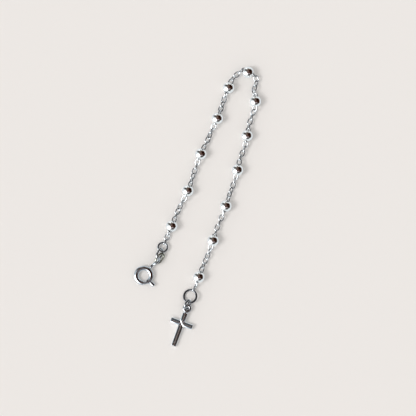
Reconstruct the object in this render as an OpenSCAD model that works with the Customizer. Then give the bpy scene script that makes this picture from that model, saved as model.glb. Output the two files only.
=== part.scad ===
// Bead chain bracelet, laid out open on a flat surface in a narrow U.
// Millimetres, +Z up from the surface, +Y along the two strands towards the bend.
// The origin is the middle of the layout, at the height of the surface.

/* [Beads] */
// Outside diameter of a bead
bead_d = 4; // [3.6:0.1:4.4]
// Wall of the hollow bead
bead_wall = 0.3; // [0.2:0.05:0.5]
// Hole that runs through a bead
bead_hole_d = 1.8; // [1.8:0.05:2.2]

/* [Chain] */
// Outside width of a chain link, and so of the tube that stands for the chain
chain_w = 1.7; // [1.4:0.05:1.7]

/* [Rings] */
// Outside diameter of the small ring at the clasp's end of the chain
clasp_jump_d = 4; // [3.9:0.05:4.1]
// Outside diameter of the ring that the clasp hooks into
end_jump_d = 5.4; // [5.3:0.05:5.5]
// Outside diameter of the ring that carries the cross
cross_jump_d = 3.9; // [3.8:0.05:4]
// Wire of the ring at the clasp's end
clasp_jump_wire = 0.7; // [0.6:0.05:0.7]
// Wire of the ring that the clasp hooks into
end_jump_wire = 0.75; // [0.6:0.05:0.75]
// Wire of the ring that carries the cross
cross_jump_wire = 0.65; // [0.5:0.05:0.65]

/* [Clasp] */
// Outside diameter of the spring ring
clasp_d = 7; // [6.8:0.1:7.2]
// Tube that the spring ring is bent from
clasp_tube = 1.6; // [1.5:0.05:1.6]
// Travel of the thumb knob round the ring, in degrees
knob_travel = 38; // [30:1:38]

/* [Cross] */
// Height of the cross without its eye
cross_h = 12.6; // [12:0.1:13]
// Width over the arms
cross_w = 8.1; // [7.5:0.1:8.5]
// Width of each arm
arm_w = 1.75; // [1.5:0.05:2]
// Thickness at the ridge
arm_t = 1.2; // [1:0.05:1.2]

/* [Hidden] */
$fn = 48;
silver = [0.86, 0.86, 0.88];
bead_r = bead_d / 2;
chain_r = chain_w / 2;

// Centres of the beads on the surface, from the clasp's end round to the cross's end: x, y
BEADS = [
    [-6.1, -11.5],
    [-5, 2.4],
    [-5.1, 16.4],
    [-3.9, 30.4],
    [-3.9, 42.1],
    [0.8, 49.7],
    [6.8, 40.8],
    [8.2, 28.2],
    [9.2, 15.5],
    [9.7, 1.9],
    [9.6, -11.3],
    [9.3, -25.3],
];

// Each stretch of chain, in the same order: how far it bows to the left of its straight line at
// one third and at two thirds of the way, and how high its middle lies
BOWS = [
    [0, 0, 1],
    [0.2, 0.1, 1.25],
    [0, 0.1, 1.25],
    [-0.1, 0, 1.25],
    [0, 0.1, 1.25],
    [1.6, 1.9, 1.4],
    [2.2, 0.3, 1.3],
    [0.2, -0.2, 1.25],
    [0.3, -0.2, 1.25],
    [0.2, 0, 1.25],
    [0, -0.2, 1.25],
    [0.2, 0, 1.25],
    [0, 0, 1],
];

function two(i) = str(i < 10 ? "0" : "", i);

// How a ring or a pendant lies: x, y and z of its centre, the heading of its long axis, how far
// that axis lifts its nose, and how far it rolls its left side up
CLASP_LIES = [-9.5, -31.62, 1.07, 69.1, 5.4, 0];
CLASP_JUMP_LIES = [-6.53, -19.71, 1.19, 86, -4.2, -5.6];
OVAL_A_LIES = [-6.77, -22.21, 1.97, 82.7, -33.4, 46.6];
OVAL_B_LIES = [-6.15, -23.78, 1.39, 75.8, 7.8, 34.2];
END_JUMP_LIES = [8.76, -32.93, 1.1, 80, -2, -18];
CROSS_JUMP_LIES = [8.88, -35.95, 1.74, 89, -3, 60];
CROSS_LIES = [9.19, -37.38, 1.32, 90, 2.8, -1];

// Oval rings: length, width, wire
OVAL_A = [4.7, 3.1, 0.75];
OVAL_B = [4.5, 2.9, 0.7];

// Clearance between pieces that are linked but don't touch
gap = 0.1;

// Distance from a bead's centre at which its chain begins to bend, and where it ends inside
mouth = bead_r + 0.1;
heart = 0.15;

function turn(v, a) = [v[0] * cos(a) - v[1] * sin(a), v[0] * sin(a) + v[1] * cos(a), v[2]];
function flat(v) = [v[0], v[1]];
function unit(v) = v / norm(v);
function left(v) = unit([-v[1], v[0]]);

// A point at distance r from a ring's centre, along its heading
function nose(lies, r) = [lies[0], lies[1], lies[2]]
    + r * turn([cos(lies[4]), 0, sin(lies[4])], lies[3]);

chain_from = nose(CLASP_JUMP_LIES, clasp_jump_d / 2 + gap);
chain_to = nose(END_JUMP_LIES, end_jump_d / 2 + gap);
STOPS = concat([flat(chain_from)], BEADS, [flat(chain_to)]);
last = len(BOWS) - 1;

// Where stretch i bends: a point on the way at fraction f, moved to the left by bow
function knee(i, f, bow) = let (a = STOPS[i], b = STOPS[i + 1]) a + f * (b - a) + bow * left(b - a);
function knee_in(i) = concat(knee(i, 1 / 3, BOWS[i][0]), [BOWS[i][2]]);
function knee_out(i) = concat(knee(i, 2 / 3, BOWS[i][1]), [BOWS[i][2]]);

// The hole of the bead after stretch i points from the chain's last bend to its next one
function bead_axis(i) = unit(flat(knee_in(i + 1)) - flat(knee_out(i)));
function by_bead(i, r) = concat(BEADS[i] + r * bead_axis(i), [bead_r]);

// The route of a stretch of chain, from bead to bead: points, each with its direction where that
// is set by a bead's hole
function free(p) = [p];
function in_hole(i, r) = [by_bead(i, r), concat(bead_axis(i), [0])];
function with_lie(p, i) = [p[0], p[1], max(p[2], BOWS[i][2])];
function route(i) =
    i == 0 ? [free(with_lie(chain_from, i)), free(knee_in(0)), in_hole(0, -mouth), in_hole(0, -heart)] :
    i == last ? [in_hole(i - 1, heart), in_hole(i - 1, mouth), free(knee_out(i)),
                 free(with_lie(chain_to, i))] :
    [in_hole(i - 1, heart), in_hole(i - 1, mouth), free(knee_in(i)), free(knee_out(i)),
     in_hole(i, -mouth), in_hole(i, -heart)];

// The direction of a way at its point k: the hole's, or else from the point before to the one after
function course(way, k) = is_undef(way[k][1])
    ? unit(way[min(k + 1, len(way) - 1)][0] - way[max(k - 1, 0)][0]) : way[k][1];

// A tube of eight sides swept along a list of points
sides = 8;
function tube_ring(p, d) =
    let (across = unit(cross([0, 0, 1], d)), up = cross(d, across))
    [for (s = [0:sides - 1])
        let (a = 360 / sides * s) p + chain_r * (cos(a) * across + sin(a) * up)];
function tube_points(way) = [for (k = [0:len(way) - 1]) each tube_ring(way[k][0], course(way, k))];
function tube_faces(rings) = concat(
    [[for (s = [0:sides - 1]) s]],
    [for (k = [0:rings - 2], s = [0:sides - 1])
        let (t = (s + 1) % sides, a = k * sides, b = a + sides) [a + s, b + s, b + t, a + t]],
    [[for (s = [sides - 1:-1:0]) (rings - 1) * sides + s]]
);

module lay(lies) {
    translate([lies[0], lies[1], lies[2]])
        rotate([0, 0, lies[3]]) rotate([0, -lies[4], 0]) rotate([lies[5], 0, 0])
            children();
}

module bead(i) {
    color(silver)
        translate(concat(BEADS[i], [bead_r])) rotate([0, 90, atan2(bead_axis(i)[1], bead_axis(i)[0])])
            rotate_extrude() difference() {
                circle(d = bead_d);
                circle(d = bead_d - 2 * bead_wall);
                translate([-bead_d, -bead_d]) square([bead_d + bead_hole_d / 2, 2 * bead_d]);
            }
}

module chain_stretch(i) {
    way = route(i);
    color(silver) polyhedron(points = tube_points(way), faces = tube_faces(len(way)));
}

module wire_ring(d, wire) {
    rotate_extrude() translate([(d - wire) / 2, 0]) circle(d = wire);
}

// An oval ring with its long axis along X: two half turns of wire and two straight sides
module oval_ring(size) {
    wire = size[2];
    bend = (size[1] - wire) / 2;
    half = (size[0] - size[1]) / 2;
    color(silver) for (end = [0, 180]) rotate(end) {
        translate([half, 0]) rotate(-90) rotate_extrude(angle = 180)
            translate([bend, 0]) circle(d = wire);
        translate([-half, bend]) rotate([0, 90, 0]) cylinder(d = wire, h = 2 * half);
    }
}

// Spring ring clasp, with its centre at the origin and its eye along +X; angles run round the
// ring. The bolt closes the mouth and slides back into the tube with the knob.
clasp_r = (clasp_d - clasp_tube) / 2;
mouth_from = -144;
mouth_to = -111;
knob_at = -94;
bolt_d = 1;
bolt_tip = -150;
bolt_tail = -87;
bolt_gap = 0.06;
end_play = 3;
stem_d = 0.6;
slot_play = 8;
knob_d = 1.4;
knob_end = 5.2;
neck_d = 1;
neck_taper = 0.2;
neck_to = 5.3;
eye_d = 3.35;
eye_wire = 0.65;
eye_turn = -15.8;
eye_roll = 96.5;

module arc_bar(d, from, to) {
    rotate(from) rotate_extrude(angle = to - from) translate([clasp_r, 0]) circle(d = d);
}

module clasp_ring() {
    channel_d = bolt_d + 2 * bolt_gap;
    slot_w = stem_d + 2 * bolt_gap;
    neck_from = clasp_r + clasp_tube / 4;
    color(silver) lay(CLASP_LIES) {
        difference() {
            arc_bar(clasp_tube, mouth_to, mouth_from + 360);
            arc_bar(channel_d, mouth_to - 1, bolt_tail + knob_travel + end_play);
            arc_bar(channel_d, bolt_tip - end_play, mouth_from + 1);
            rotate(knob_at - slot_play) rotate_extrude(angle = knob_travel + 2 * slot_play)
                translate([clasp_r, -slot_w / 2]) square([clasp_tube, slot_w]);
        }
        translate([neck_from, 0]) rotate([0, 90, 0])
            cylinder(d1 = neck_d + neck_taper, d2 = neck_d - neck_taper, h = neck_to - neck_from);
        translate([neck_to, 0]) rotate(eye_turn) translate([(eye_d - eye_wire) / 2, 0])
            rotate([eye_roll, 0, 0]) wire_ring(eye_d, eye_wire);
    }
}

module clasp_bolt() {
    knob_from = clasp_r + clasp_tube / 2 + gap;
    color(silver) lay(CLASP_LIES) {
        arc_bar(bolt_d, bolt_tip, bolt_tail);
        rotate(knob_at) rotate([0, 90, 0]) {
            translate([0, 0, clasp_r]) cylinder(d = stem_d, h = knob_from + gap - clasp_r);
            translate([0, 0, knob_from]) cylinder(d = knob_d, h = knob_end - knob_from);
        }
    }
}

module clasp_jump_ring() { color(silver) lay(CLASP_JUMP_LIES) wire_ring(clasp_jump_d, clasp_jump_wire); }
module oval_ring_a() { lay(OVAL_A_LIES) oval_ring(OVAL_A); }
module oval_ring_b() { lay(OVAL_B_LIES) oval_ring(OVAL_B); }
module end_jump_ring() { color(silver) lay(END_JUMP_LIES) wire_ring(end_jump_d, end_jump_wire); }
module cross_jump_ring() { color(silver) lay(CROSS_JUMP_LIES) wire_ring(cross_jump_d, cross_jump_wire); }

// Cross, with the centre of its eye at the origin and its foot along -X
cross_eye_d = 3.2;
cross_eye_wire = 1;
cross_top = 1.75;
cross_arms_at = 5.75;
side_t = 0.9 * arm_t;
hip = 0.45;
groove = 0.14;
groove_w = 0.5;

// A bar along X with a flat back, upright sides, a roof with a ridge, and sloping ends
module roof_bar(from, to) {
    slope = atan2(arm_t - side_t, hip);
    difference() {
        translate([from, 0]) rotate([90, 0, 90]) linear_extrude(to - from) polygon([
            [-arm_w / 2, 0], [arm_w / 2, 0], [arm_w / 2, side_t], [0, arm_t], [-arm_w / 2, side_t]
        ]);
        for (end = [[to, 0], [from, 180]])
            translate([end[0], 0, side_t]) rotate(end[1]) rotate([0, slope, 0])
                translate([-arm_t * 2, -arm_w, 0]) cube([arm_t * 4, 2 * arm_w, 2 * arm_t]);
    }
}

// A groove that runs from the middle of the crossing down to one of its inner corners
module valley_cut() {
    reach = arm_w / sqrt(2);
    rotate([0, atan2(arm_t - side_t, reach), 0]) rotate([90, 0, 90])
        linear_extrude(reach + groove_w) polygon([
            [-groove_w / 2, 0], [0, -groove], [groove_w / 2, 0], [groove_w / 2, arm_t],
            [-groove_w / 2, arm_t]
        ]);
}

module cross_pendant() {
    color(silver) lay(CROSS_LIES) {
        difference() {
            translate([0, 0, -arm_t / 2]) {
                roof_bar(-cross_top - cross_h, -cross_top);
                translate([-cross_arms_at, 0]) rotate(90) roof_bar(-cross_w / 2, cross_w / 2);
            }
            translate([-cross_arms_at, 0, arm_t / 2]) for (corner = [45, 135, 225, 315])
                rotate(corner) valley_cut();
        }
        wire_ring(cross_eye_d, cross_eye_wire);
        translate([-cross_top - cross_eye_wire / 2, 0]) rotate([0, 90, 0])
            cylinder(d = cross_eye_wire - gap, h = cross_eye_wire);
    }
}

for (i = [1:len(BEADS)]) bead(i - 1);
for (i = [0:last]) chain_stretch(i);
clasp_jump_ring();
oval_ring_a();
oval_ring_b();
clasp_ring();
clasp_bolt();
end_jump_ring();
cross_jump_ring();
cross_pendant();  // cross
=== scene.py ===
"""Bead chain bracelet with a spring ring clasp and a small cross, lying open on a pale surface.

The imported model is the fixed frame. Every piece made here stands for one of its nodes, lies where
that node lies and rides on the same body. Sizes are in millimetres until a mesh is finished, and
angles are in degrees.
"""

import logging
import math
from dataclasses import dataclass, field
from enum import Enum, IntEnum

import bmesh
import bpy
from mathutils import Matrix, Vector

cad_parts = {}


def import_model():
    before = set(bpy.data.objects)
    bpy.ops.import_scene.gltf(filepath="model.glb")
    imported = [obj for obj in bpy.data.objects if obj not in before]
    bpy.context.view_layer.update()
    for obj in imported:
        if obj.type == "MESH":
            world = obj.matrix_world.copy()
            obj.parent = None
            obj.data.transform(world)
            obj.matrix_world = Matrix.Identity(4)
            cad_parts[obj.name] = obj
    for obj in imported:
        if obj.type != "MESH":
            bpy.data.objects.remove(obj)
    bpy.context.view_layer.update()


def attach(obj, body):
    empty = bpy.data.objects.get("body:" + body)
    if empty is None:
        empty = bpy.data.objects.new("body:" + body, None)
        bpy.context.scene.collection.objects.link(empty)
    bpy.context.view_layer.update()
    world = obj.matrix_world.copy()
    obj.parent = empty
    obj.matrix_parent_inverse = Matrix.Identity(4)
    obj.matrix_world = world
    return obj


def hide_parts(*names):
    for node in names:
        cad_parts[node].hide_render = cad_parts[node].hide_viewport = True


Pair = tuple[float, float]
Triple = tuple[float, float, float]
BMesh = bmesh.types.BMesh
Edge = bmesh.types.BMEdge
Node = bpy.types.Node
Socket = bpy.types.NodeSocket
Tree = bpy.types.NodeTree

LOG = logging.getLogger("bracelet")
MM = 0.001
BRACELET = "bracelet"
BOLT = "clasp_bolt"

ORIGIN = (0, 0, 0)
X_AXIS = (1, 0, 0)
Y_AXIS = (0, 1, 0)
Z_AXIS = (0, 0, 1)

# Points closer than this become one
WELD = 1e-4
# Edges sharper than this stay crisp, unless a piece says otherwise
CRISP = 40.0
# Edges sharper than this get rounded
SHARP = 50.0


# ---- Where things lie ----


def rotation(degrees: float, axis: str) -> Matrix:
    """Returns the turn by an angle round an axis through the origin."""
    return Matrix.Rotation(math.radians(degrees), 4, axis)


@dataclass(frozen=True)
class Lie:
    """How a ring or a pendant lies.

    Attributes:
        x: Its centre along X.
        y: Its centre along Y.
        z: Height of its centre.
        heading: Direction of its long axis round Z.
        nose: How far that axis lifts its nose.
        roll: How far it is rolled round that axis.
    """

    x: float
    y: float
    z: float
    heading: float
    nose: float = 0.0
    roll: float = 0.0

    def matrix(self) -> Matrix:
        """Returns the matrix that lays a shape made at the origin, with its nose along +X."""
        return (
            Matrix.Translation((self.x, self.y, self.z))
            @ rotation(self.heading, "Z")
            @ rotation(-self.nose, "Y")
            @ rotation(self.roll, "X")
        )


# Centres of the beads, from the clasp's end round to the cross's end
BEADS = (
    (-6.1, -11.5),
    (-5.0, 2.4),
    (-5.1, 16.4),
    (-3.9, 30.4),
    (-3.9, 42.1),
    (0.8, 49.7),
    (6.8, 40.8),
    (8.2, 28.2),
    (9.2, 15.5),
    (9.7, 1.9),
    (9.6, -11.3),
    (9.3, -25.3),
)
CLASP_LIE = Lie(-9.5, -31.62, 1.07, 69.1, 5.4, 0)
CLASP_JUMP_LIE = Lie(-6.53, -19.71, 1.19, 86, -4.2, -5.6)
OVAL_A_LIE = Lie(-6.77, -22.21, 1.97, 82.7, -33.4, 46.6)
OVAL_B_LIE = Lie(-6.15, -23.78, 1.39, 75.8, 7.8, 34.2)
END_JUMP_LIE = Lie(8.76, -32.93, 1.1, 80, -2, -18)
CROSS_JUMP_LIE = Lie(8.88, -35.95, 1.74, 89, -3, 60)
CROSS_LIE = Lie(9.19, -37.38, 1.32, 90, 2.8, -1)


# ---- Nodes ----


def set_inputs(tree: Tree, node: Node, inputs: dict[str | int, object]) -> None:
    """Sets the inputs of a node.

    Args:
        tree: Node tree that holds the node.
        node: The node.
        inputs: What each input gets: a socket, which is linked, or a value. A colour is given by
            three numbers.
    """
    for name, value in inputs.items():
        entry = node.inputs[name]
        if isinstance(value, Socket):
            tree.links.new(value, entry)
        else:
            entry.default_value = (*value, 1) if entry.type == "RGBA" else value


def add_node(tree: Tree, kind: str, inputs: dict[str | int, object], **settings: str) -> Node:
    """Adds a node.

    Args:
        tree: Node tree to add to.
        kind: Kind of node.
        inputs: What each input gets, as for set_inputs.
        **settings: Settings of the node itself.

    Returns:
        The node.
    """
    node = tree.nodes.new(f"ShaderNode{kind}")
    for name, value in settings.items():
        setattr(node, name, value)
    set_inputs(tree, node, inputs)
    return node


def lay_over(tree: Tree, under: Socket | Triple, over: Socket | Triple, cover: Socket) -> Socket:
    """Lays a colour over another one as far as cover says, and returns the mix's socket."""
    inputs = {"Factor": cover, "A": under, "B": over}
    return add_node(tree, "Mix", inputs, data_type="RGBA").outputs["Result"]


# ---- Finishes ----


class Slot(Enum):
    """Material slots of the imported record."""

    BEADS = "beads"
    CHAIN = "chain"
    RINGS = "rings"
    CLASP = "clasp"
    CROSS = "cross"


@dataclass(frozen=True)
class Grain:
    """A noise that varies a finish from place to place.

    Attributes:
        size: Size of its patches.
        detail: Number of finer layers.
        between: Values of the noise between which its effect rises from none to full.
    """

    size: float
    detail: float
    between: Pair = (0.0, 1.0)

    def noise(self, tree: Tree, place: Socket) -> Socket:
        """Adds the noise at a place and returns its socket."""
        inputs = {"Vector": place, "Scale": 1 / (self.size * MM), "Detail": self.detail}
        return add_node(tree, "TexNoise", inputs).outputs["Fac"]

    def spread(self, tree: Tree, place: Socket, to: Pair) -> Socket:
        """Adds the noise, spread over a range of values.

        Args:
            tree: Node tree of the material.
            place: Socket of the place on the piece.
            to: Least and greatest value.

        Returns:
            The socket of the value.
        """
        names = ("From Min", "From Max", "To Min", "To Max")
        inputs = {"Value": self.noise(tree, place), **dict(zip(names, (*self.between, *to)))}
        return add_node(tree, "MapRange", inputs).outputs["Result"]


DULL_PATCHES = Grain(1.6, 3.0, (0.45, 0.75))
SMEARS = Grain(0.5, 4.0, (0.35, 0.7))
SCRATCHES = Grain(0.05, 2.0)
WANDER_DETAIL = 1.5
# Scale of the scratches' noise along X, Y and Z: it is drawn out along X, where they run
SCRATCH_SHAPE = (0.08, 1.0, 0.6)


@dataclass(frozen=True)
class SilverFinish:
    """Polished silver: a metal with a faint tarnish, fine scratches and a hand-finished surface.

    Attributes:
        name: Name of the material.
        tint: Colour of the metal. In the chain, ring, clasp, cross facet and cross eye finishes it
            is
        darker than clean silver: painted shade for the dark surroundings that they mirror.
        tarnish: Colour of the metal where it has dulled.
        scratch_turn: Turn of the scratches' noise, which gives a finish scratches of its own.
        metal: How far it is bare metal; the rest is a thin grey film.
        edge: How much of the tint is left where the surface turns away, from 0 to 1.
        dulling: How far the tarnish goes at most, from 0 to 1.
        roughness: Least and greatest roughness.
        wander: Depth of the soft unevenness that bends reflections.
        wander_size: Size of that unevenness.
        scratch: Depth of the fine scratches.
    """

    name: str
    tint: Triple
    tarnish: Triple
    scratch_turn: float
    metal: float = 1.0
    edge: float = 1.0
    dulling: float = 0.5
    roughness: Pair = (0.03, 0.07)
    wander: float = 0.002
    wander_size: float = 0.6
    scratch: float = 0.0002

    def material(self) -> bpy.types.Material:
        """Returns the node material for this finish."""
        made = bpy.data.materials.new(self.name)
        made.use_nodes = True
        tree = made.node_tree
        place = tree.nodes.new("ShaderNodeTexCoord").outputs["Object"]
        dull = DULL_PATCHES.spread(tree, place, (0.0, self.dulling))
        along = {"Rotation": (0, 0, math.radians(self.scratch_turn)), "Scale": SCRATCH_SHAPE}
        turn = add_node(tree, "Mapping", {"Vector": place, **along})
        lines = SCRATCHES.noise(tree, turn.outputs["Vector"])
        uneven = Grain(self.wander_size, WANDER_DETAIL).noise(tree, place)
        soft = self._bump(tree, {"Height": uneven}, self.wander)
        inputs = {
            "Metallic": self.metal,
            "Specular Tint": (self.edge, self.edge, self.edge),
            "Base Color": lay_over(tree, self.tint, self.tarnish, dull),
            "Roughness": SMEARS.spread(tree, place, self.roughness),
            "Normal": self._bump(tree, {"Height": lines, "Normal": soft}, self.scratch),
        }
        set_inputs(tree, tree.nodes["Principled BSDF"], inputs)
        return made

    @staticmethod
    def _bump(tree: Tree, inputs: dict[str, Socket], depth: float) -> Socket:
        """Adds a bump of a depth and returns the socket of its normal."""
        inputs = {**inputs, "Strength": 1.0, "Distance": depth * MM}
        return add_node(tree, "Bump", inputs).outputs["Normal"]


BEAD_POLISH = SilverFinish(
    "bead polish",
    tint=(0.955, 0.945, 0.925),
    tarnish=(0.80, 0.76, 0.69),
    scratch_turn=25,
    dulling=0.15,
    roughness=(0.015, 0.04),
    wander=0.0012,
    wander_size=0.9,
    scratch=0.00006,
)
# Tint dimmed below clean silver: painted shade for the dark surroundings the links mirror; the dull
# patches are tarnish
CHAIN_SHADED_POLISH = SilverFinish(
    "chain polish with painted shade",
    tint=(0.74, 0.76, 0.77),
    tarnish=(0.30, 0.29, 0.28),
    scratch_turn=70,
    edge=0.8,
    dulling=0.6,
    roughness=(0.03, 0.08),
    wander_size=0.35,
)
# Tint far darker than silver: painted shade for the dark surroundings that these small rings mirror
SMALL_RING_SHADED_POLISH = SilverFinish(
    "small ring polish with painted shade", tint=(0.40, 0.42, 0.44), tarnish=(0.18, 0.17, 0.17), scratch_turn=10
)
# Tint darker than silver: painted shade for the dark surroundings this ring mirrors
UPPER_OVAL_SHADED_POLISH = SilverFinish(
    "upper oval ring polish with painted shade",
    tint=(0.60, 0.61, 0.62),
    tarnish=(0.30, 0.30, 0.29),
    scratch_turn=50,
    edge=0.6,
)
# Darker and olive: painted shadow of the upper oval ring over this one, and a painted olive
# reflection
LOWER_OVAL_SHADOWED_POLISH = SilverFinish(
    "lower oval ring with painted shadow",
    tint=(0.50, 0.50, 0.42),
    tarnish=(0.24, 0.24, 0.20),
    scratch_turn=50,
    edge=0.6,
)
# Tint nearly black: painted shade for the dark surroundings that the end ring mirrors
END_RING_SHADED_POLISH = SilverFinish(
    "end ring polish with painted shade",
    tint=(0.20, 0.20, 0.21),
    tarnish=(0.10, 0.09, 0.09),
    scratch_turn=30,
    edge=0.9,
)
# Tint darker than silver: painted shade that deepens the dark core of the ring's tube
CLASP_SHADED_POLISH = SilverFinish(
    "clasp polish with painted shade",
    tint=(0.56, 0.59, 0.62),
    tarnish=(0.40, 0.40, 0.40),
    scratch_turn=40,
    dulling=0.4,
    roughness=(0.02, 0.05),
    wander_size=0.8,
    scratch=0.0003,
)
CROSS_RIM = SilverFinish(
    "cross rim polish",
    tint=(0.90, 0.93, 0.95),
    tarnish=(0.70, 0.71, 0.72),
    scratch_turn=80,
    dulling=0.4,
    roughness=(0.04, 0.10),
    wander=0.0012,
    wander_size=0.7,
)
CROSS_WORN = SilverFinish(
    "cross worn ridge",
    tint=(0.84, 0.86, 0.87),
    tarnish=(0.70, 0.71, 0.72),
    scratch_turn=80,
    metal=0.87,
    dulling=0.4,
    roughness=(0.10, 0.16),
    wander=0.0015,
    wander_size=0.5,
    scratch=0.0003,
)
# Dark blue-grey tint on the sloping facets: painted dark and blue-grey reflection in the facets'
# colour
CROSS_FACET_PAINTED_REFLECTION = SilverFinish(
    "cross facet painted dark reflection",
    tint=(0.42, 0.62, 0.74),
    tarnish=(0.34, 0.48, 0.56),
    scratch_turn=80,
    metal=0.975,
    dulling=0.4,
    roughness=(0.04, 0.08),
    wander=0.0010,
    wander_size=0.7,
)
# Tint darker than silver: painted shade on the cross's eye
CROSS_EYE_SHADED = SilverFinish(
    "cross eye polish with painted shade",
    tint=(0.46, 0.46, 0.47),
    tarnish=(0.26, 0.25, 0.25),
    scratch_turn=20,
    dulling=0.4,
    wander=0.0012,
)


# ---- Shapes ----


def new_circle(bm: BMesh, centre: Triple, normal: Triple, radius: float, sides: int) -> list[Edge]:
    """Adds a ring of edges.

    Args:
        bm: Mesh to add to.
        centre: Middle of the ring.
        normal: Direction that the ring faces.
        radius: Radius of the ring.
        sides: Number of edges.

    Returns:
        The ring's edges.
    """
    turn = Vector(normal).to_track_quat("Z", "Y").to_matrix().to_4x4()
    place = Matrix.Translation(centre) @ turn
    made = bmesh.ops.create_circle(bm, segments=sides, radius=radius, matrix=place)
    return list({e for v in made["verts"] for e in v.link_edges})


def spin_on(
    bm: BMesh, edges: list[Edge], centre: Triple, axis: Triple, degrees: float, steps: int
) -> list[Edge]:
    """Sweeps edges round an axis.

    Args:
        bm: Mesh that holds the edges.
        edges: The edges.
        centre: A point on the axis.
        axis: Direction of the axis.
        degrees: Angle to sweep; a full turn closes on itself.
        steps: Number of steps.

    Returns:
        The edges at the end of the sweep.
    """
    made = bmesh.ops.spin(
        bm,
        geom=edges + list({v for e in edges for v in e.verts}),
        cent=centre,
        axis=axis,
        angle=math.radians(degrees),
        steps=steps,
        use_merge=abs(degrees) >= 360,
        use_duplicate=False,
    )
    return [g for g in made["geom_last"] if isinstance(g, Edge)]


def push_on(bm: BMesh, edges: list[Edge], step: Triple) -> list[Edge]:
    """Draws a ring of edges out straight.

    Args:
        bm: Mesh that holds the ring.
        edges: The ring's edges.
        step: How far it goes, along X, Y and Z.

    Returns:
        The edges of the new ring.
    """
    made = bmesh.ops.extrude_edge_only(bm, edges=edges)["geom"]
    moved = {g for g in made if isinstance(g, bmesh.types.BMVert)}
    bmesh.ops.translate(bm, verts=list(moved), vec=step)
    return [g for g in made if isinstance(g, Edge) and set(g.verts) <= moved]


def close_up(bm: BMesh) -> None:
    """Merges doubled points and turns all faces outwards."""
    bmesh.ops.remove_doubles(bm, verts=bm.verts, dist=WELD)
    bmesh.ops.recalc_face_normals(bm, faces=bm.faces)


def move(bm: BMesh, matrix: Matrix) -> None:
    """Moves a whole shape by a matrix."""
    bmesh.ops.transform(bm, matrix=matrix, verts=bm.verts)


def round_ring(outside: float, wire: float, turns: int, sides: int) -> BMesh:
    """Makes a ring of round wire that lies flat.

    Args:
        outside: Diameter outside.
        wire: Diameter of the wire.
        turns: Steps round the ring.
        sides: Sides of the wire.

    Returns:
        The ring, its centre at the origin.
    """
    bm = bmesh.new()
    edges = new_circle(bm, ((outside - wire) / 2, 0, 0), Y_AXIS, wire / 2, sides)
    spin_on(bm, edges, ORIGIN, Z_AXIS, 360, turns)
    close_up(bm)
    return bm


def oval_link(length: float, width: float, wire: float, turns: int, sides: int) -> BMesh:
    """Makes an oval ring of round wire that lies flat, its long axis along X.

    Args:
        length: Length outside.
        width: Width outside.
        wire: Diameter of the wire.
        turns: Steps in each half turn.
        sides: Sides of the wire.

    Returns:
        The ring, its centre at the origin.
    """
    bend = (width - wire) / 2
    half = (length - width) / 2
    bm = bmesh.new()
    edges = new_circle(bm, (0, -bend, 0), X_AXIS, wire / 2, sides)
    edges = push_on(bm, edges, (half, 0, 0))
    edges = spin_on(bm, edges, (half, 0, 0), Z_AXIS, 180, turns)
    edges = push_on(bm, edges, (-2 * half, 0, 0))
    edges = spin_on(bm, edges, (-half, 0, 0), Z_AXIS, 180, turns)
    push_on(bm, edges, (half, 0, 0))
    close_up(bm)
    return bm


def turned(profile: list[Pair], steps: int, loop: bool = False) -> BMesh:
    """Turns a profile round the X axis.

    Args:
        profile: Points as (distance along the axis, radius).
        steps: Number of sides.
        loop: Whether the profile closes on itself.

    Returns:
        The turned mesh, closed where the profile starts and ends on the axis.
    """
    bm = bmesh.new()
    verts = [bm.verts.new((x, 0, r)) for x, r in profile]
    edges = [bm.edges.new(pair) for pair in zip(verts, verts[1:])]
    if loop:
        edges.append(bm.edges.new((verts[-1], verts[0])))
    spin_on(bm, edges, ORIGIN, X_AXIS, 360, steps)
    close_up(bm)
    return bm


def arc(centre: Pair, radius: float, start: float, end: float, steps: int) -> list[Pair]:
    """Returns points along an arc in the (axis, radius) plane, from one angle to another."""
    angles = [math.radians(start + (end - start) * k / steps) for k in range(steps + 1)]
    return [(centre[0] + radius * math.cos(a), centre[1] + radius * math.sin(a)) for a in angles]


def sharp_edges(bm: BMesh) -> list[Edge]:
    """Returns the sharp edges of a closed shape."""
    return [e for e in bm.edges if e.is_manifold and e.calc_face_angle() > math.radians(SHARP)]


def bevel(bm: BMesh, edges: list[Edge], width: float, segments: int) -> None:
    """Rounds edges to a width, in a number of segments."""
    bmesh.ops.bevel(
        bm,
        geom=edges,
        offset=width,
        offset_type="OFFSET",
        affect="EDGES",
        segments=segments,
        profile=0.5,
        material=-1,
        clamp_overlap=True,
    )


def soften(bm: BMesh, width: float, segments: int) -> None:
    """Rounds every sharp edge to a width, in a number of segments."""
    bevel(bm, sharp_edges(bm), width, segments)
    bmesh.ops.recalc_face_normals(bm, faces=bm.faces)


def as_mesh(bm: BMesh, name: str) -> bpy.types.Mesh:
    """Writes a shape into a new mesh.

    Args:
        bm: The shape; it is freed.
        name: Name of the mesh.

    Returns:
        The mesh.
    """
    mesh = bpy.data.meshes.new(name)
    bm.to_mesh(mesh)
    bm.free()
    return mesh


def add_object(name: str, data: bpy.types.ID) -> bpy.types.Object:
    """Adds an object to the scene.

    Args:
        name: Its name.
        data: The mesh, light or camera that it holds.

    Returns:
        The object.
    """
    made = bpy.data.objects.new(name, data)
    bpy.context.scene.collection.objects.link(made)
    return made


def add_copy(bm: BMesh, shape: bpy.types.Mesh, matrix: Matrix) -> None:
    """Adds a copy of a mesh to a shape.

    Args:
        bm: The shape.
        shape: The mesh.
        matrix: How the copy is moved.
    """
    first = len(bm.verts)
    bm.from_mesh(shape)
    bm.verts.ensure_lookup_table()
    bmesh.ops.transform(bm, matrix=matrix, verts=bm.verts[first:])


class Join(Enum):
    """How two closed shapes become one."""

    ADD = "UNION"
    CUT = "DIFFERENCE"


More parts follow.
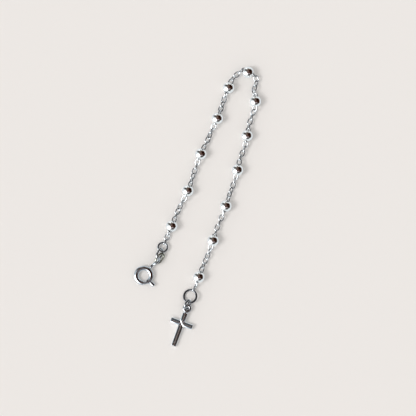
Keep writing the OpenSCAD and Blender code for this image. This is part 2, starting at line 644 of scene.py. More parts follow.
def joined(target: BMesh, tool: BMesh, how: Join) -> BMesh:
    """Cuts or joins two closed shapes.

    Args:
        target: Shape to keep; it is freed.
        tool: Shape to cut with or to add; it is freed.
        how: Whether to add or to cut.

    Returns:
        The new shape.
    """
    kept, used = (add_object("cut", as_mesh(bm, "cut")) for bm in (target, tool))
    modifier = kept.modifiers.new("cut", "BOOLEAN")
    modifier.operation, modifier.object, modifier.solver = how.value, used, "EXACT"
    result = bmesh.new()
    result.from_object(kept, bpy.context.evaluated_depsgraph_get())
    for thing in (kept, used):
        mesh = thing.data
        bpy.data.objects.remove(thing)
        bpy.data.meshes.remove(mesh)
    bmesh.ops.dissolve_degenerate(result, edges=result.edges, dist=WELD)
    return result


def put(
    bm: BMesh,
    name: str,
    material: bpy.types.Material,
    slot: Slot,
    body: str,
    *nodes: str,
    smooth_to: float = CRISP,
) -> bpy.types.Object:
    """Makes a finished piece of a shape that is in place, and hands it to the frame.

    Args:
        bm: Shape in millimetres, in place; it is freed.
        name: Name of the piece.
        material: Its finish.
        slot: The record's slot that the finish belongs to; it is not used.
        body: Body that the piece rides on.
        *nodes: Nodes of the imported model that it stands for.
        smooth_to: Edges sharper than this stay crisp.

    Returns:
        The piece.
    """
    bmesh.ops.scale(bm, vec=(MM, MM, MM), verts=bm.verts)
    mesh = as_mesh(bm, name)
    mesh.polygons.foreach_set("use_smooth", [True] * len(mesh.polygons))
    mesh.set_sharp_from_angle(angle=math.radians(smooth_to))
    mesh.materials.append(material)
    piece = add_object(name, mesh)
    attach(piece, body)
    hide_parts(*nodes)
    heights = [v.co.z / MM for v in mesh.vertices]
    what = f"{name}: {len(mesh.polygons)} faces on {body}"
    where = f"{min(heights):.3f} to {max(heights):.3f} mm high"
    LOG.info("%s, %s, for %s", what, where, ", ".join(nodes))
    return piece


# ---- Beads ----


@dataclass
class PolishedBeads:
    """The hollow round beads, each with a rolled lip round the hole that the chain runs through.

    Attributes:
        outside: Diameter of a bead.
        wall: Thickness of its wall.
        hole: Diameter of the hole through it.
        lip: Radius of the lip round the hole.
        above: Height of its lowest point.
        roll: How far each bead is rolled round its hole after the one before.
        sides: Steps round a bead.
        arc_steps: Steps from one hole to the other, outside.
        lip_steps: Steps round each half of a lip.
        polish: Its finish.
    """

    outside: float = 3.99
    wall: float = 0.3
    hole: float = 1.8
    lip: float = 0.12
    above: float = 0.001
    roll: float = 31.0
    sides: int = 72
    arc_steps: int = 40
    lip_steps: int = 4
    polish: SilverFinish = BEAD_POLISH

    def build(self, axes: list[Vector]) -> None:
        """Makes every bead.

        Args:
            axes: Direction of each bead's hole.
        """
        material = self.polish.material()
        shape = as_mesh(turned(self._profile(), self.sides, loop=True), "bead shape")
        height = self.outside / 2 + self.above
        for i, ((x, y), axis) in enumerate(zip(BEADS, axes), start=1):
            bm = bmesh.new()
            heading = math.degrees(math.atan2(axis.y, axis.x))
            add_copy(bm, shape, Lie(x, y, height, heading, roll=self.roll * i).matrix())
            put(bm, f"polished_bead_{i:02d}", material, Slot.BEADS, BRACELET, f"bead_{i:02d}")

    def _profile(self) -> list[Pair]:
        """Returns the bead's wall in section: outside, lip, inside and lip again."""
        radius, inner = self.outside / 2, self.outside / 2 - self.wall
        clear = self.hole / 2 + self.lip
        open_at = math.degrees(math.asin(clear / radius))
        open_inside = math.degrees(math.asin(clear / inner))
        lip_at = radius * math.cos(math.radians(open_at)) - self.lip
        outer = arc((0, 0), radius, open_at, 180 - open_at, self.arc_steps)
        inside = arc((0, 0), inner, 180 - open_inside, open_inside, self.arc_steps // 2)
        left = arc((-lip_at, clear), self.lip, 180, 270, self.lip_steps)
        right = arc((lip_at, clear), self.lip, 270, 360, self.lip_steps)
        return outer[:-1] + left + inside + right[:-1]


# ---- Chain ----


@dataclass(frozen=True)
class Stretch:
    """One stretch of chain between two stops.

    Attributes:
        bows: How far the chain bows to the left at one third and at two thirds of the way.
        lie: Height of its middle.
        links: For each link, its distance from the start of the way and how far it is rolled; a
            link that is rolled by 0 lies open, and one that is rolled by 90 stands on edge.
    """

    bows: Pair
    lie: float
    links: tuple[Pair, ...]


# From the clasp's ring over the beads to the end ring
STRETCHES = (
    Stretch((0, 0), 1.0, ((2.15, 82), (3.9, 8), (5.65, 72), (7.3, -10))),
    Stretch(
        (0.2, 0.1),
        1.25,
        ((0.8, -60), (2.52, 30), (4.21, -80), (5.83, 24))
        + ((7.63, -30), (9.39, 78), (11.19, -8), (12.9, 80)),
    ),
    Stretch(
        (0, 0.1),
        1.25,
        ((0.8, -50), (2.55, 35), (4.1, -65), (5.7, 45))
        + ((7.5, -8), (9.3, 82), (11.15, -15), (12.9, 75)),
    ),
    Stretch(
        (-0.1, 0),
        1.25,
        ((0.8, -55), (2.52, 32), (4.15, -82), (5.76, 20))
        + ((7.55, -35), (9.32, 75), (11.1, -5), (12.85, 80)),
    ),
    Stretch(
        (0, 0.1),
        1.25,
        ((0.5, -20), (2.2, 62), (3.85, -15), (5.5, 55), (7.3, -12), (9.1, 66), (10.9, -20)),
    ),
    Stretch((1.6, 1.9), 1.4, ((0.6, 80), (2.3, -5), (4.1, -55), (5.9, 10), (7.7, -75), (9.3, 5))),
    Stretch(
        (2.2, 0.3),
        1.3,
        ((0.6, 10), (2.3, -75), (4.0, 5), (5.75, -55), (7.45, 30), (9.2, -60), (10.9, 25)),
    ),
    Stretch(
        (0.2, -0.2),
        1.25,
        ((0.5, -55), (2.35, 28), (4.2, -32), (6.0, 72))
        + ((7.75, -8), (9.6, 70), (11.3, -15), (12.4, 60)),
    ),
    Stretch(
        (0.3, -0.2),
        1.25,
        ((0.0, 10), (1.55, -80), (3.25, 0), (4.9, 82))
        + ((6.68, 8), (8.45, -75), (10.15, 10), (11.9, -80)),
    ),
    Stretch(
        (0.2, 0),
        1.25,
        ((0.5, -60), (2.3, 22), (4.1, -78), (5.92, 5))
        + ((7.75, -52), (9.5, 40), (11.2, -50), (13.0, 30)),
    ),
    Stretch(
        (0, -0.2),
        1.25,
        ((1.0, 0), (2.8, 82), (4.68, 4), (6.5, -80), (8.4, 6), (10.3, 80), (12.1, -5)),
    ),
    Stretch(
        (0.2, 0),
        1.25,
        ((0.6, -70), (2.4, 12), (4.15, -62), (5.98, 25))
        + ((7.95, -28), (9.75, 62), (11.4, -25), (13.2, 60)),
    ),
    Stretch((0, 0), 1.04, ((0.9, -20), (2.75, 68), (4.85, -76))),
)


@dataclass
class CableChain:
    """The oval cable chain, stretch by stretch: it runs right through the beads.

    Attributes:
        length: Length of a link outside.
        width: Width of a link outside.
        wire: Wire of a link.
        turns: Steps in each half turn of a link.
        sides: Sides of the wire.
        bead_radius: Radius of a bead, and height of its hole.
        start_reach: Distance of the first stop from the middle of the clasp's ring.
        end_reach: Distance of the last stop from the middle of the end ring.
        way_end: Distance from the middle of the end ring at which the last way ends.
        aim: Part of its length on either side of its middle over which a link finds its course.
        samples: Steps of the curve between two points of a way.
        polish: Its finish.
        stops: A ring, the beads and a ring, between which the stretches run.
    """

    length: float = 2.7
    width: float = 1.95
    wire: float = 0.45
    turns: int = 10
    sides: int = 10
    bead_radius: float = 2.0
    start_reach: float = 2.1
    end_reach: float = 2.8
    way_end: float = 0.8
    aim: float = 0.3
    samples: int = 160
    polish: SilverFinish = CHAIN_SHADED_POLISH
    stops: list[Vector] = field(init=False)

    def __post_init__(self) -> None:
        """Finds the stops."""
        first = CLASP_JUMP_LIE.matrix() @ Vector((self.start_reach, 0, 0))
        last = END_JUMP_LIE.matrix() @ Vector((self.end_reach, 0, 0))
        beads = [Vector((x, y, self.bead_radius)) for x, y in BEADS]
        self.stops = [first, *beads, last]

    def _knee(self, i: int, part: float, bow: float) -> Vector:
        """Finds where a stretch bends.

        Args:
            i: Number of the stretch.
            part: Part of its way.
            bow: How far the bend lies to the left of the straight way.

        Returns:
            The bend.
        """
        a, b = self.stops[i].to_2d(), self.stops[i + 1].to_2d()
        side = (b - a).orthogonal().normalized()
        point = a + part * (b - a) + bow * side
        return Vector((point.x, point.y, STRETCHES[i].lie))

    def knees(self, i: int) -> tuple[Vector, Vector]:
        """Returns the two bends of stretch i."""
        bows = STRETCHES[i].bows
        return self._knee(i, 1 / 3, bows[0]), self._knee(i, 2 / 3, bows[1])

    def bead_axes(self) -> list[Vector]:
        """Returns the direction of each bead's hole, from the bend before it to the one after."""
        axes = []
        for i in range(1, len(self.stops) - 1):
            way = self.knees(i)[0] - self.knees(i - 1)[1]
            axes.append(Vector((way.x, way.y, 0)).normalized())
        return axes

    def _way(self, i: int) -> list[Vector]:
        """Finds the points that a stretch passes: it runs from bead to bead with two bends.

        The first starts in the middle of the clasp's ring and bends once before its bead, and the
        last bends once after its bead and ends inside the end ring.

        Args:
            i: Number of the stretch.

        Returns:
            The points of its way.
        """
        axes = self.bead_axes()
        bends = self.knees(i)
        if i == 0:
            start, bends = [CLASP_JUMP_LIE.matrix().translation], bends[:1]
        else:
            start = [self.stops[i], self.stops[i] + self.bead_radius * axes[i - 1]]
        if i == len(axes):
            end, bends = [END_JUMP_LIE.matrix() @ Vector((self.way_end, 0, 0))], bends[1:]
        else:
            end = [self.stops[i + 1] - self.bead_radius * axes[i], self.stops[i + 1]]
        return [*start, *bends, *end]

    def _curve(self, i: int) -> list[Vector]:
        """Draws a smooth curve through the points of a way.

        Args:
            i: Number of the stretch.

        Returns:
            Close points along the curve.
        """
        way = self._way(i)
        ends = [2 * way[0] - way[1], *way, 2 * way[-1] - way[-2]]
        points = []
        for p0, p1, p2, p3 in zip(ends, ends[1:], ends[2:], ends[3:]):
            for t in (s / self.samples for s in range(self.samples)):
                points.append(
                    0.5
                    * (
                        2 * p1
                        + (p2 - p0) * t
                        + (2 * p0 - 5 * p1 + 4 * p2 - p3) * t * t
                        + (3 * p1 - p0 - 3 * p2 + p3) * t * t * t
                    )
                )
        points.append(way[-1])
        return points

    @staticmethod
    def _at(points: list[Vector], distance: float) -> Vector:
        """Finds a place along close points, or straight on beyond their end.

        Args:
            points: The points.
            distance: Distance of the place from the first of them.

        Returns:
            The place.
        """
        gone = 0.0
        for a, b in zip(points, points[1:]):
            step = (b - a).length
            if gone + step >= distance:
                return a.lerp(b, (distance - gone) / step)
            gone += step
        a, b = points[-2], points[-1]
        return b + (b - a).normalized() * (distance - gone)

    def build(self) -> None:
        """Makes every stretch as a row of linked oval links."""
        material = self.polish.material()
        link = oval_link(self.length, self.width, self.wire, self.turns, self.sides)
        shape = as_mesh(link, "link shape")
        reach = self.aim * self.length
        for i, stretch in enumerate(STRETCHES):
            points = self._curve(i)
            bm = bmesh.new()
            for distance, roll in stretch.links:
                before = self._at(points, max(distance - reach, 0))
                way = self._at(points, distance + reach) - before
                heading = math.degrees(math.atan2(way.y, way.x))
                nose = math.degrees(math.atan2(way.z, way.to_2d().length))
                lie = Lie(*self._at(points, distance), heading, nose, roll)
                add_copy(bm, shape, lie.matrix())
            put(bm, f"cable_chain_{i:02d}", material, Slot.CHAIN, BRACELET, f"chain_{i:02d}")


# ---- Rings ----


@dataclass(frozen=True)
class WireRing:
    """One closed ring of round wire.

    Attributes:
        name: Name of the piece.
        node: Node that it stands for.
        length: Length outside.
        width: Width outside.
        wire: Diameter of the wire.
        lie: How it lies.
        polish: Its finish.
    """

    name: str
    node: str
    length: float
    width: float
    wire: float
    lie: Lie
    polish: SilverFinish

    def shape(self, turns: int, sides: int) -> BMesh:
        """Makes the ring in its place.

        Args:
            turns: Steps in a half turn.
            sides: Sides of the wire.

        Returns:
            The ring.
        """
        if self.length == self.width:
            bm = round_ring(self.length, self.wire, 2 * turns, sides)
        else:
            bm = oval_link(self.length, self.width, self.wire, turns, sides)
        move(bm, self.lie.matrix())
        return bm


RINGS = (
    WireRing(
        "round_ring_at_clasp", "clasp_jump_ring", 4.0, 4.0, 0.7, CLASP_JUMP_LIE, SMALL_RING_SHADED_POLISH
    ),
    WireRing("oval_ring_upper", "oval_ring_a", 4.7, 3.1, 0.75, OVAL_A_LIE, UPPER_OVAL_SHADED_POLISH),
    WireRing("oval_ring_lower", "oval_ring_b", 4.5, 2.9, 0.7, OVAL_B_LIE, LOWER_OVAL_SHADOWED_POLISH),
    WireRing("round_ring_at_end", "end_jump_ring", 5.4, 5.4, 0.75, END_JUMP_LIE, END_RING_SHADED_POLISH),
    WireRing(
        "round_ring_at_cross", "cross_jump_ring", 3.9, 3.9, 0.65, CROSS_JUMP_LIE, SMALL_RING_SHADED_POLISH
    ),
)


@dataclass
class LinkRings:
    """The plain rings that join the chain to the clasp and to the cross.

    Attributes:
        turns: Steps in a half turn of a ring.
        sides: Sides of the wire.
        rings: The rings.
    """

    turns: int = 32
    sides: int = 24
    rings: tuple[WireRing, ...] = RINGS

    def build(self) -> None:
        """Makes every ring."""
        materials = {ring.polish: ring.polish.material() for ring in self.rings}
        for ring in self.rings:
            bm = ring.shape(self.turns, self.sides)
            put(bm, ring.name, materials[ring.polish], Slot.RINGS, BRACELET, ring.node)


# ---- Clasp ----


@dataclass
class SpringRingClasp:
    """The hollow spring ring with its slot, mouth and soldered eye, and the bolt with its knob.

    Angles count round the ring from its eye.

    Attributes:
        outside: Diameter of the ring.
        tube: Diameter of the tube that it is bent from.
        bore: Diameter of the channel in the tube.
        mouth_from: Angle at which the mouth starts.
        mouth_to: Angle at which the mouth ends.
        edge: Rounding of the edges of mouth and slot.
        knob_at: Angle of the knob when the bolt closes the mouth.
        travel: How far the bolt slides.
        bore_play: How much further the channel goes than the bolt, at either end.
        past: How far the channel's cutters reach into the mouth.
        slot_play: How much further the slot goes than the knob, at either end.
        slot_width: Width of the slot.
        bolt: Diameter of the bolt.
        bolt_edge: Rounding of the bolt's ends.
        bolt_tip: Angle of its end in the mouth's far side.
        bolt_tail: Angle of its other end.
        stem: Diameter of the knob's stem.
        knob: Diameter of the knob.
        knob_foot: Distance of the knob from the tube.
        knob_edge: Rounding of its edge beside the tube.
        knob_crown: Rounding of its outer end.
        knob_end: Distance of its outer end from the ring's middle.
        neck: Diameter of the neck between the ring and the eye.
        neck_swell: How far the neck's middle swells beyond its ends.
        neck_to: Distance of the neck's end from the ring's middle.
        neck_root: How far the neck widens inside the tube.
        neck_tip: How far the neck reaches into the eye.
        eye: Diameter of the eye.
        eye_wire: Diameter of its wire.
        eye_turn: How far the eye is bent aside.
        eye_roll: How far the eye is rolled from flat.
        sides: Sides of the tube, the bolt, the neck and the knob.
        crisp: Edges sharper than this stay crisp.
        polish: Its finish.
    """

    outside: float = 6.996
    tube: float = 1.6
    bore: float = 1.12
    mouth_from: float = -144.0
    mouth_to: float = -111.0
    edge: float = 0.05
    knob_at: float = -94.0
    travel: float = 38.0
    bore_play: float = 3.0
    past: float = 1.0
    slot_play: float = 8.0
    slot_width: float = 0.72
    bolt: float = 1.0
    bolt_edge: float = 0.12
    bolt_tip: float = -150.0
    bolt_tail: float = -87.0
    stem: float = 0.6
    knob: float = 1.4
    knob_foot: float = 0.1
    knob_edge: float = 0.1
    knob_crown: float = 0.3
    knob_end: float = 5.2
    neck: float = 1.0
    neck_swell: float = 0.16
    neck_to: float = 5.3
    neck_root: float = 0.1
    neck_tip: float = 0.12
    eye: float = 3.35
    eye_wire: float = 0.65
    eye_turn: float = -15.8
    eye_roll: float = 96.5
    sides: int = 28
    crisp: float = 50.0
    polish: SilverFinish = CLASP_SHADED_POLISH

    @property
    def middle(self) -> float:
        """Radius of the tube's middle line."""
        return (self.outside - self.tube) / 2

    @property
    def rim(self) -> float:
        """Radius of the ring's outer edge."""
        return self.middle + self.tube / 2

    def _bent_bar(self, diameter: float, start: float, end: float, steps: int) -> BMesh:
        """Makes a closed round bar that is bent along the ring.

        Args:
            diameter: Diameter of the bar.
            start: Angle at which it starts.
            end: Angle at which it ends.
            steps: Steps along it.

        Returns:
            The bar.
        """
        bm = bmesh.new()
        edges = new_circle(bm, (self.middle, 0, 0), Y_AXIS, diameter / 2, self.sides)
        last = spin_on(bm, edges, ORIGIN, Z_AXIS, end - start, steps)
        for ring in (edges, last):
            bmesh.ops.contextual_create(bm, geom=ring)
        close_up(bm)
        move(bm, rotation(start, "Z"))
        return bm

    def _slot_cutter(self) -> BMesh:
        """Returns the curved block that cuts the slot along which the knob travels."""
        bm = bmesh.new()
        bmesh.ops.create_grid(bm, x_segments=1, y_segments=1, size=0.5)
        move(bm, rotation(90, "X"))
        bmesh.ops.scale(bm, vec=(self.tube, 1, self.slot_width), verts=bm.verts)
        bmesh.ops.translate(bm, vec=(self.rim, 0, 0), verts=bm.verts)
        move(bm, rotation(self.knob_at - self.slot_play, "Z"))
        bmesh.ops.spin(
            bm,
            geom=bm.faces[:] + bm.edges[:] + bm.verts[:],
            cent=ORIGIN,
            axis=Z_AXIS,
            angle=math.radians(self.travel + 2 * self.slot_play),
            steps=24,
            use_merge=False,
            use_duplicate=False,
        )
        close_up(bm)
        return bm

    def _eye(self) -> BMesh:
        """Returns the neck and the eye, soldered to each other."""
        eye = round_ring(self.eye, self.eye_wire, turns=48, sides=20)
        place = (
            Matrix.Translation((self.neck_to, 0, 0))
            @ rotation(self.eye_turn, "Z")
            @ Matrix.Translation(((self.eye - self.eye_wire) / 2, 0, 0))
            @ rotation(self.eye_roll, "X")
        )
        move(eye, place)
        start = self.middle + self.tube / 4
        waist = self.neck / 2 - self.neck_swell
        half = (self.neck_to - self.rim) / 2
        profile = [(start, 0), (start, waist + self.neck_root)]
        for x, swell in arc((0, 0), 1, 180, 0, steps=9):
            profile.append((self.rim + half * (1 + x), waist + self.neck_swell * swell))
        profile.append((self.neck_to + self.neck_tip, 0))
        return joined(eye, turned(profile, self.sides), Join.ADD)

    def _ring(self) -> BMesh:
        """Returns the hollow ring with its channel, mouth, slot and eye."""
        ring = self._bent_bar(self.tube, self.mouth_to, self.mouth_from + 360, steps=120)
        near_side = (self.mouth_to - self.past, self.bolt_tail + self.travel + self.bore_play)
        far_side = (self.bolt_tip - self.bore_play, self.mouth_from + self.past)
        for cutter in (
            self._bent_bar(self.bore, *near_side, steps=40),
            self._bent_bar(self.bore, *far_side, steps=6),
            self._slot_cutter(),
        ):
            ring = joined(ring, cutter, Join.CUT)
        soften(ring, self.edge, segments=2)
        return joined(ring, self._eye(), Join.ADD)

    def _bolt(self) -> BMesh:
        """Returns the bolt with its knob."""
        bolt = self._bent_bar(self.bolt, self.bolt_tip, self.bolt_tail, steps=28)
        soften(bolt, self.bolt_edge, segments=3)
        foot, radius = self.rim + self.knob_foot, self.knob / 2
        edge, crown = self.knob_edge, self.knob_crown
        profile = [
            (self.middle, 0),
            (self.middle, self.stem / 2),
            (foot, self.stem / 2),
            *arc((foot + edge, radius - edge), edge, 180, 90, steps=3),
            *arc((self.knob_end - crown, radius - crown), crown, 90, 0, steps=6),
            (self.knob_end, 0),
        ]
        knob = turned(profile, self.sides)
        move(knob, rotation(self.knob_at, "Z"))
        return joined(bolt, knob, Join.ADD)

    def build(self) -> None:
        """Makes the ring and the bolt."""
        material = self.polish.material()
        for bm, name, body, node in (
            (self._ring(), "spring_ring", BRACELET, "clasp_ring"),
            (self._bolt(), "spring_ring_bolt", BOLT, "clasp_bolt"),
        ):
            move(bm, CLASP_LIE.matrix())
            put(bm, name, material, Slot.CLASP, body, node, smooth_to=self.crisp)


# ---- Cross ----


class CrossFace(IntEnum):
    """Kinds of face on the cross, each with a finish of its own."""

    RIM = 0
    WORN = 1
    # Sloping facets: their finish holds a painted dark, blue-grey reflection
    FACET = 2
    EYE = 3


@dataclass
class CrossPendant:
    """The cross with roof-shaped arms, a flat back and an eye on top, its foot along -X.

    Attributes:
        height: Height of the cross without its eye.
        width: Width over the arms.
        arm: Width of each arm.
        thick: Thickness at the ridge.
        side: Thickness at the eaves, where the roof starts.
        hip: Length of the slope at the end of an arm.
        groove: Depth of the grooves in the crossing.
        groove_width: Width of these grooves.
        cutter_above: How far their cutters stand above the roof.
        cushion: Rounding of the eaves and corners.
        low_cushion: Rounding of the eaves along the arms' low side.
        ridge: Width of the worn ridge.
        top: Distance of the cross's top from the eye's middle.
        arms_at: Distance of the crossing from the eye's middle.
        eye: Diameter of the eye.
        eye_wire: Diameter of its wire.
        eye_margin: How far beyond the eye its finish reaches.
        root: How far the eye's root reaches into the cross and into the eye.
        root_inset: How far its surface lies under the wire's.
        root_tip: Length of its cone inside the eye.
        level: Upward part of its normal above which a face is worn.
        sloping: Upward part of its normal above which a face is a facet, which gets the painted
            dark,
        blue-grey reflection.
        crisp: Edges sharper than this stay crisp.
        finishes: The finish of each kind of face, in their order.
    """

    height: float = 12.6
    width: float = 8.1
    arm: float = 1.75
    thick: float = 1.2
    side: float = 1.08
    hip: float = 0.5
    groove: float = 0.14
    groove_width: float = 0.52
    cutter_above: float = 0.4
    cushion: float = 0.15
    low_cushion: float = 0.42
    ridge: float = 0.17
    top: float = 1.75
    arms_at: float = 5.75
    eye: float = 3.2
    eye_wire: float = 1.0
    eye_margin: float = 0.02
    root: float = 0.5
    root_inset: float = 0.05
    root_tip: float = 0.1
    level: float = 0.999
    sloping: float = 0.97
    crisp: float = 30.0
    finishes: tuple[SilverFinish, ...] = (CROSS_RIM, CROSS_WORN, CROSS_FACET_PAINTED_REFLECTION, CROSS_EYE_SHADED)

    @property
    def rise(self) -> float:
        """How far the ridge stands above the eaves."""
        return self.thick - self.side

    @property
    def eaves(self) -> float:
        """Height of the eaves above the middle of the thickness."""
        return self.side - self.thick / 2

    def _arm(self, start: float, end: float) -> BMesh:
        """Makes a bar along X with a flat back, upright sides, a ridge and sloping ends.

        Args:
            start: Where it starts along X.
            end: Where it ends.

        Returns:
            The bar.
        """
        bm = bmesh.new()
        bmesh.ops.create_cube(bm, size=1)
        bmesh.ops.scale(bm, vec=(end - start, self.arm, self.thick), verts=bm.verts)
        bmesh.ops.translate(bm, vec=((start + end) / 2, 0, 0), verts=bm.verts)
        half = self.arm / 2
        for point, normal in (
            ((0, -half, self.eaves), (0, -self.rise, half)),
            ((0, half, self.eaves), (0, self.rise, half)),
            ((start, 0, self.eaves), (-self.rise, 0, self.hip)),
            ((end, 0, self.eaves), (self.rise, 0, self.hip)),
        ):
            everything = bm.verts[:] + bm.edges[:] + bm.faces[:]
            bmesh.ops.bisect_plane(
                bm, geom=everything, plane_co=point, plane_no=normal, clear_outer=True
            )
            bmesh.ops.holes_fill(bm, edges=[e for e in bm.edges if e.is_boundary])
        close_up(bm)
        return bm

    def _round_off(self, bm: BMesh, low_side: Pair | None = None) -> None:
        """Rounds the eaves and corners of an arm and wears its ridge to a narrow flat.

        Args:
            bm: The arm, along X.
            low_side: Direction of the side that is rounded more than the rest.
        """
        near = 0.01
        ridge = [e for e in bm.edges if all(v.co.z > self.thick / 2 - near for v in e.verts)]
        low = []
        if low_side:
            low = [
                e
                for e in bm.edges
                if all(abs(v.co.z - self.eaves) < near for v in e.verts)
                and all(v.co.xy.dot(Vector(low_side)) > self.arm / 2 - near for v in e.verts)
            ]
        rest = [e for e in sharp_edges(bm) if e not in low]
        for edges, width, segments in (
            (ridge, self.ridge, 1),
            (low, self.low_cushion, 6),
            (rest, self.cushion, 4),
        ):
            edges = [e for e in edges if e.is_valid]
            if edges:
                bevel(bm, edges, width, segments)
        close_up(bm)

    def _valley_cutter(self, corner: float) -> BMesh:
        """Makes the wedge that cuts a groove from the crossing's middle to an inner corner.

        Args:
            corner: Direction of the inner corner.

        Returns:
            The wedge.
        """
        reach = self.arm / math.sqrt(2)
        lying = rotation(90, "Y") @ Matrix.Translation((0, 0, 0.5)) @ rotation(-90, "Z")
        bm = bmesh.new()
        bmesh.ops.create_cone(
            bm, cap_ends=True, segments=3, radius1=1, radius2=1, depth=1, matrix=lying
        )
        low = min(v.co.z for v in bm.verts)
        high = max(v.co.z for v in bm.verts)
        wide = max(v.co.y for v in bm.verts)
        length = reach + self.groove_width
        depth = self.groove + self.cutter_above
        half = depth * self.groove_width / self.groove / 2
        bmesh.ops.translate(bm, vec=(0, 0, -low), verts=bm.verts)
        bmesh.ops.scale(bm, vec=(length, half / wide, depth / (high - low)), verts=bm.verts)
        bmesh.ops.translate(bm, vec=(0, 0, -self.groove), verts=bm.verts)
        fall = math.degrees(math.atan2(self.rise, reach))
        crossing = Matrix.Translation((-self.arms_at, 0, self.thick / 2))
        move(bm, crossing @ rotation(corner, "Z") @ rotation(fall, "Y"))
        return bm

    def _arms(self) -> BMesh:
        """Returns the two arms as one, with the grooves in their crossing."""
        upright = self._arm(-self.top - self.height, -self.top)
        self._round_off(upright)
        across = self._arm(-self.width / 2, self.width / 2)
        self._round_off(across, low_side=(0, 1))
        move(across, Matrix.Translation((-self.arms_at, 0, 0)) @ rotation(90, "Z"))
        cross = joined(upright, across, Join.ADD)
        for corner in (45, 135, 225, 315):
            cross = joined(cross, self._valley_cutter(corner), Join.CUT)
        return cross

    def _eye(self) -> BMesh:
        """Returns the eye with its root."""
        eye = round_ring(self.eye, self.eye_wire, turns=56, sides=24)
        radius = self.eye_wire / 2 - self.root_inset
        profile = [
            (-self.top - self.root, 0),
            (-self.top - self.root, radius),
            (-self.top - self.root_inset, radius),
            (-self.top + self.root - self.root_tip, radius),
            (-self.top + self.root, 0),
        ]
        return joined(eye, turned(profile, steps=28), Join.ADD)

    def _mark(self, cross: BMesh) -> None:
        """Gives every face of the cross its kind; the sloping facets take the painted dark
        reflection.

        Args:
            cross: The cross, before it is laid in its place.
        """
        cross.normal_update()
        for face in cross.faces:
            if face.calc_center_median().length < self.eye / 2 + self.eye_margin:
                face.material_index = CrossFace.EYE
            elif face.normal.z > self.level:
                face.material_index = CrossFace.WORN
            # Sloping faces get the finish with the painted dark, blue-grey reflection
            elif face.normal.z > self.sloping:
                face.material_index = CrossFace.FACET

    def build(self) -> None:
        """Makes the cross."""
        cross = joined(self._arms(), self._eye(), Join.ADD)
        self._mark(cross)
        move(cross, CROSS_LIE.matrix())
        rim, *others = (finish.material() for finish in self.finishes)
        name = "bevelled_cross"
        piece = put(cross, name, rim, Slot.CROSS, BRACELET, "cross", smooth_to=self.crisp)
        for material in others:
            piece.data.materials.append(material)
        piece.modifiers.new("flat facets", "WEIGHTED_NORMAL").keep_sharp = True
        marks = [face.material_index for face in piece.data.polygons]
        ridges, facets = marks.count(CrossFace.WORN), marks.count(CrossFace.FACET)
        LOG.info("%s: %d ridge faces, %d facets", name, ridges, facets)


# ---- Studio ----


@dataclass(frozen=True)
class Reflected:
    """A patch of the surroundings, by the place where a polished ball shows it from above.

    Attributes:
        right: Its middle towards the picture's right, in radii of the ball.
        up: Its middle towards the picture's top, in radii of the ball.
        half: Half its length and half its width, in radii of the ball.
        turn: Direction of its length, from the picture's right towards the top.
        soft: Part of its size over which its edge fades.
        colour: Its colour.
    """

    right: float
    up: float
    half: Pair
    turn: float
    soft: float
    colour: Triple


# From the lowest layer to the uppermost: first the bright side, then the dark side and its spots
PATCHES = (
    Reflected(-0.49, -0.27, (0.36, 0.28), -14, 0.08, (1.5, 1.53, 1.56)),
    Reflected(-0.45, -0.26, (0.25, 0.19), -14, 0.3, (6.0, 6.1, 6.2)),
    Reflected(0.14, -0.49, (0.28, 0.14), 8, 0.4, (0.06, 0.065, 0.06)),
    Reflected(0.26, 0.08, (0.50, 0.50), 0, 0.10, (0.080, 0.034, 0.021)),
    Reflected(0.46, -0.20, (0.30, 0.22), 20, 0.3, (0.045, 0.022, 0.013)),
    Reflected(-0.34, 0.36, (0.38, 0.17), -16, 0.5, (0.055, 0.05, 0.045)),
    Reflected(0.00, 0.52, (0.13, 0.16), 0, 0.5, (0.12, 0.09, 0.06)),
    Reflected(-0.08, 0.16, (0.20, 0.18), -20, 0.6, (0.16, 0.12, 0.11)),
    Reflected(0.38, 0.26, (0.21, 0.19), -10, 0.6, (0.0, 0.0, 0.0)),
    Reflected(0.50, -0.10, (0.14, 0.14), 40, 0.5, (0.01, 0.006, 0.004)),
    Reflected(0.06, -0.27, (0.24, 0.08), 5, 0.8, (0.50, 0.46, 0.50)),
    Reflected(-0.30, 0.68, (0.12, 0.11), -20, 0.4, (1.2, 1.2, 1.2)),
)


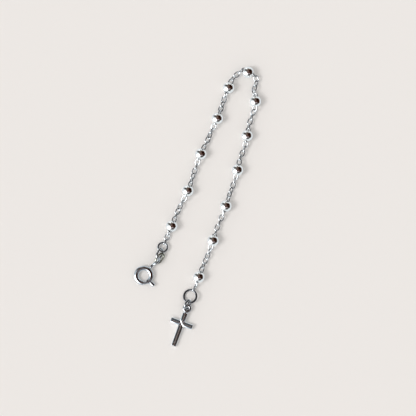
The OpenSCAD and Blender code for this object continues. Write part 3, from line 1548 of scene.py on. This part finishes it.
@dataclass
class Studio:
    """A plain pale table, a soft light from the left and the camera above.

    Attributes:
        turn: How far the picture's right is turned from +X.
        aim: Point of the table in the middle of the picture.
        field_width: Width of table that the picture shows.
        lens: Focal length of the camera.
        sensor: Width of its sensor.
        table: Colour of the table.
        table_half: Half the table's side, in metres.
        table_roughness: Roughness of the table.
        table_shine: Strength of its shine.
        key_azimuth: Where the main light comes from, from the picture's right towards the top.
        key_height: How high it stands.
        key_spread: How wide it is.
        key_power: Its strength.
        fill: Light of the surroundings on everything that isn't a mirror.
        walls: Colour of the surroundings in a mirror.
        patches: What a mirror shows besides, from the lowest layer to the uppermost.
    """

    turn: float = 20.0
    aim: Pair = (3.92, -0.93)
    field_width: float = 149.6
    lens: float = 150.0
    sensor: float = 36.0
    table: Triple = (0.80, 0.765, 0.735)
    table_half: float = 3.0
    table_roughness: float = 0.9
    table_shine: float = 0.1
    key_azimuth: float = 192.0
    key_height: float = 50.0
    key_spread: float = 24.0
    key_power: float = 1.30
    fill: Triple = (0.74, 0.74, 0.74)
    walls: Triple = (0.77, 0.83, 0.87)
    patches: tuple[Reflected, ...] = PATCHES

    def build(self) -> None:
        """Makes the table, the surroundings, the light and the camera."""
        self._table()
        self._surroundings()
        self._key()
        self._camera()

    def _table(self) -> None:
        """Makes the plain table top."""
        bm = bmesh.new()
        bmesh.ops.create_grid(bm, x_segments=1, y_segments=1, size=self.table_half)
        top = add_object("table_top", as_mesh(bm, "table_top"))
        material = bpy.data.materials.new("table top")
        material.use_nodes = True
        tree = material.node_tree
        shine = {"Roughness": self.table_roughness, "Specular IOR Level": self.table_shine}
        set_inputs(tree, tree.nodes["Principled BSDF"], {"Base Color": self.table, **shine})
        top.data.materials.append(material)
        top.visible_glossy = False

    def _surroundings(self) -> None:
        """Makes the pale walls and the dark part of the room that the silver mirrors."""
        world = bpy.data.worlds.new("surroundings")
        bpy.context.scene.world = world
        world.use_nodes = True
        tree = world.node_tree
        place = self._on_ball(tree)
        colour = self.walls
        for patch in self.patches:
            colour = lay_over(tree, colour, patch.colour, self._cover(tree, place, patch))
        mirrored = tree.nodes.new("ShaderNodeLightPath").outputs["Is Glossy Ray"]
        shown = lay_over(tree, self.fill, colour, mirrored)
        set_inputs(tree, tree.nodes["Background"], {"Color": shown})
        world.cycles.sampling_method = "NONE"

    @staticmethod
    def _on_ball(tree: Tree) -> Socket:
        """Finds where on a polished ball a direction is seen mirrored from above.

        Args:
            tree: Node tree of the world.

        Returns:
            The socket of the place.
        """
        place = tree.nodes.new("ShaderNodeTexCoord").outputs["Generated"]
        for operation, other in (
            ("ADD", {1: Z_AXIS}),
            ("NORMALIZE", {}),
            ("MULTIPLY", {1: (1, 1, 0)}),
        ):
            step = add_node(tree, "VectorMath", {0: place, **other}, operation=operation)
            place = step.outputs["Vector"]
        return place

    def _cover(self, tree: Tree, place: Socket, patch: Reflected) -> Socket:
        """Finds how far a patch covers the surroundings.

        Args:
            tree: Node tree of the world.
            place: Socket of the place on the polished ball.
            patch: The patch.

        Returns:
            The socket of the cover, from 0 to 1.
        """
        inputs = {
            "Vector": place,
            "Location": rotation(self.turn, "Z") @ Vector((patch.right, patch.up, 0)),
            "Rotation": (0, 0, math.radians(self.turn + patch.turn)),
            "Scale": (*patch.half, 1),
        }
        inside = add_node(tree, "Mapping", inputs, vector_type="TEXTURE").outputs["Vector"]
        away = add_node(tree, "VectorMath", {0: inside}, operation="LENGTH").outputs["Value"]
        inputs = {"Value": away, "From Min": 1 + patch.soft, "From Max": 1 - patch.soft}
        edge = add_node(tree, "MapRange", inputs, interpolation_type="SMOOTHSTEP")
        return edge.outputs["Result"]

    def _key(self) -> None:
        """Makes the soft main light."""
        data = bpy.data.lights.new("key", "SUN")
        data.energy = self.key_power
        data.angle = math.radians(self.key_spread)
        lamp = add_object("key", data)
        lean = rotation(90 - self.key_height, "Y")
        towards = rotation(self.key_azimuth + self.turn, "Z") @ lean @ Vector(Z_AXIS)
        lamp.rotation_euler = towards.to_track_quat("Z", "Y").to_euler()
        lamp.location = towards
        lamp.visible_glossy = False

    def _camera(self) -> None:
        """Makes the camera straight above the table, turned as the picture is."""
        data = bpy.data.cameras.new("camera")
        data.lens, data.sensor_width = self.lens, self.sensor
        data.clip_start, data.clip_end = 0.01, 10
        camera = add_object("camera", data)
        away = self.field_width * self.lens / self.sensor
        camera.location = Vector((*self.aim, away)) * MM
        camera.rotation_euler = (0, 0, math.radians(self.turn))
        bpy.context.scene.camera = camera


def main() -> None:
    """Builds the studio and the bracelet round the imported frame."""
    logging.basicConfig(level=logging.INFO, format="%(name)s: %(message)s")
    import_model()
    bpy.context.scene.view_settings.view_transform = "Standard"
    Studio().build()
    chain = CableChain()
    PolishedBeads().build(chain.bead_axes())
    chain.build()
    LinkRings().build()
    SpringRingClasp().build()
    CrossPendant().build()


if __name__ == "__main__":
    main()
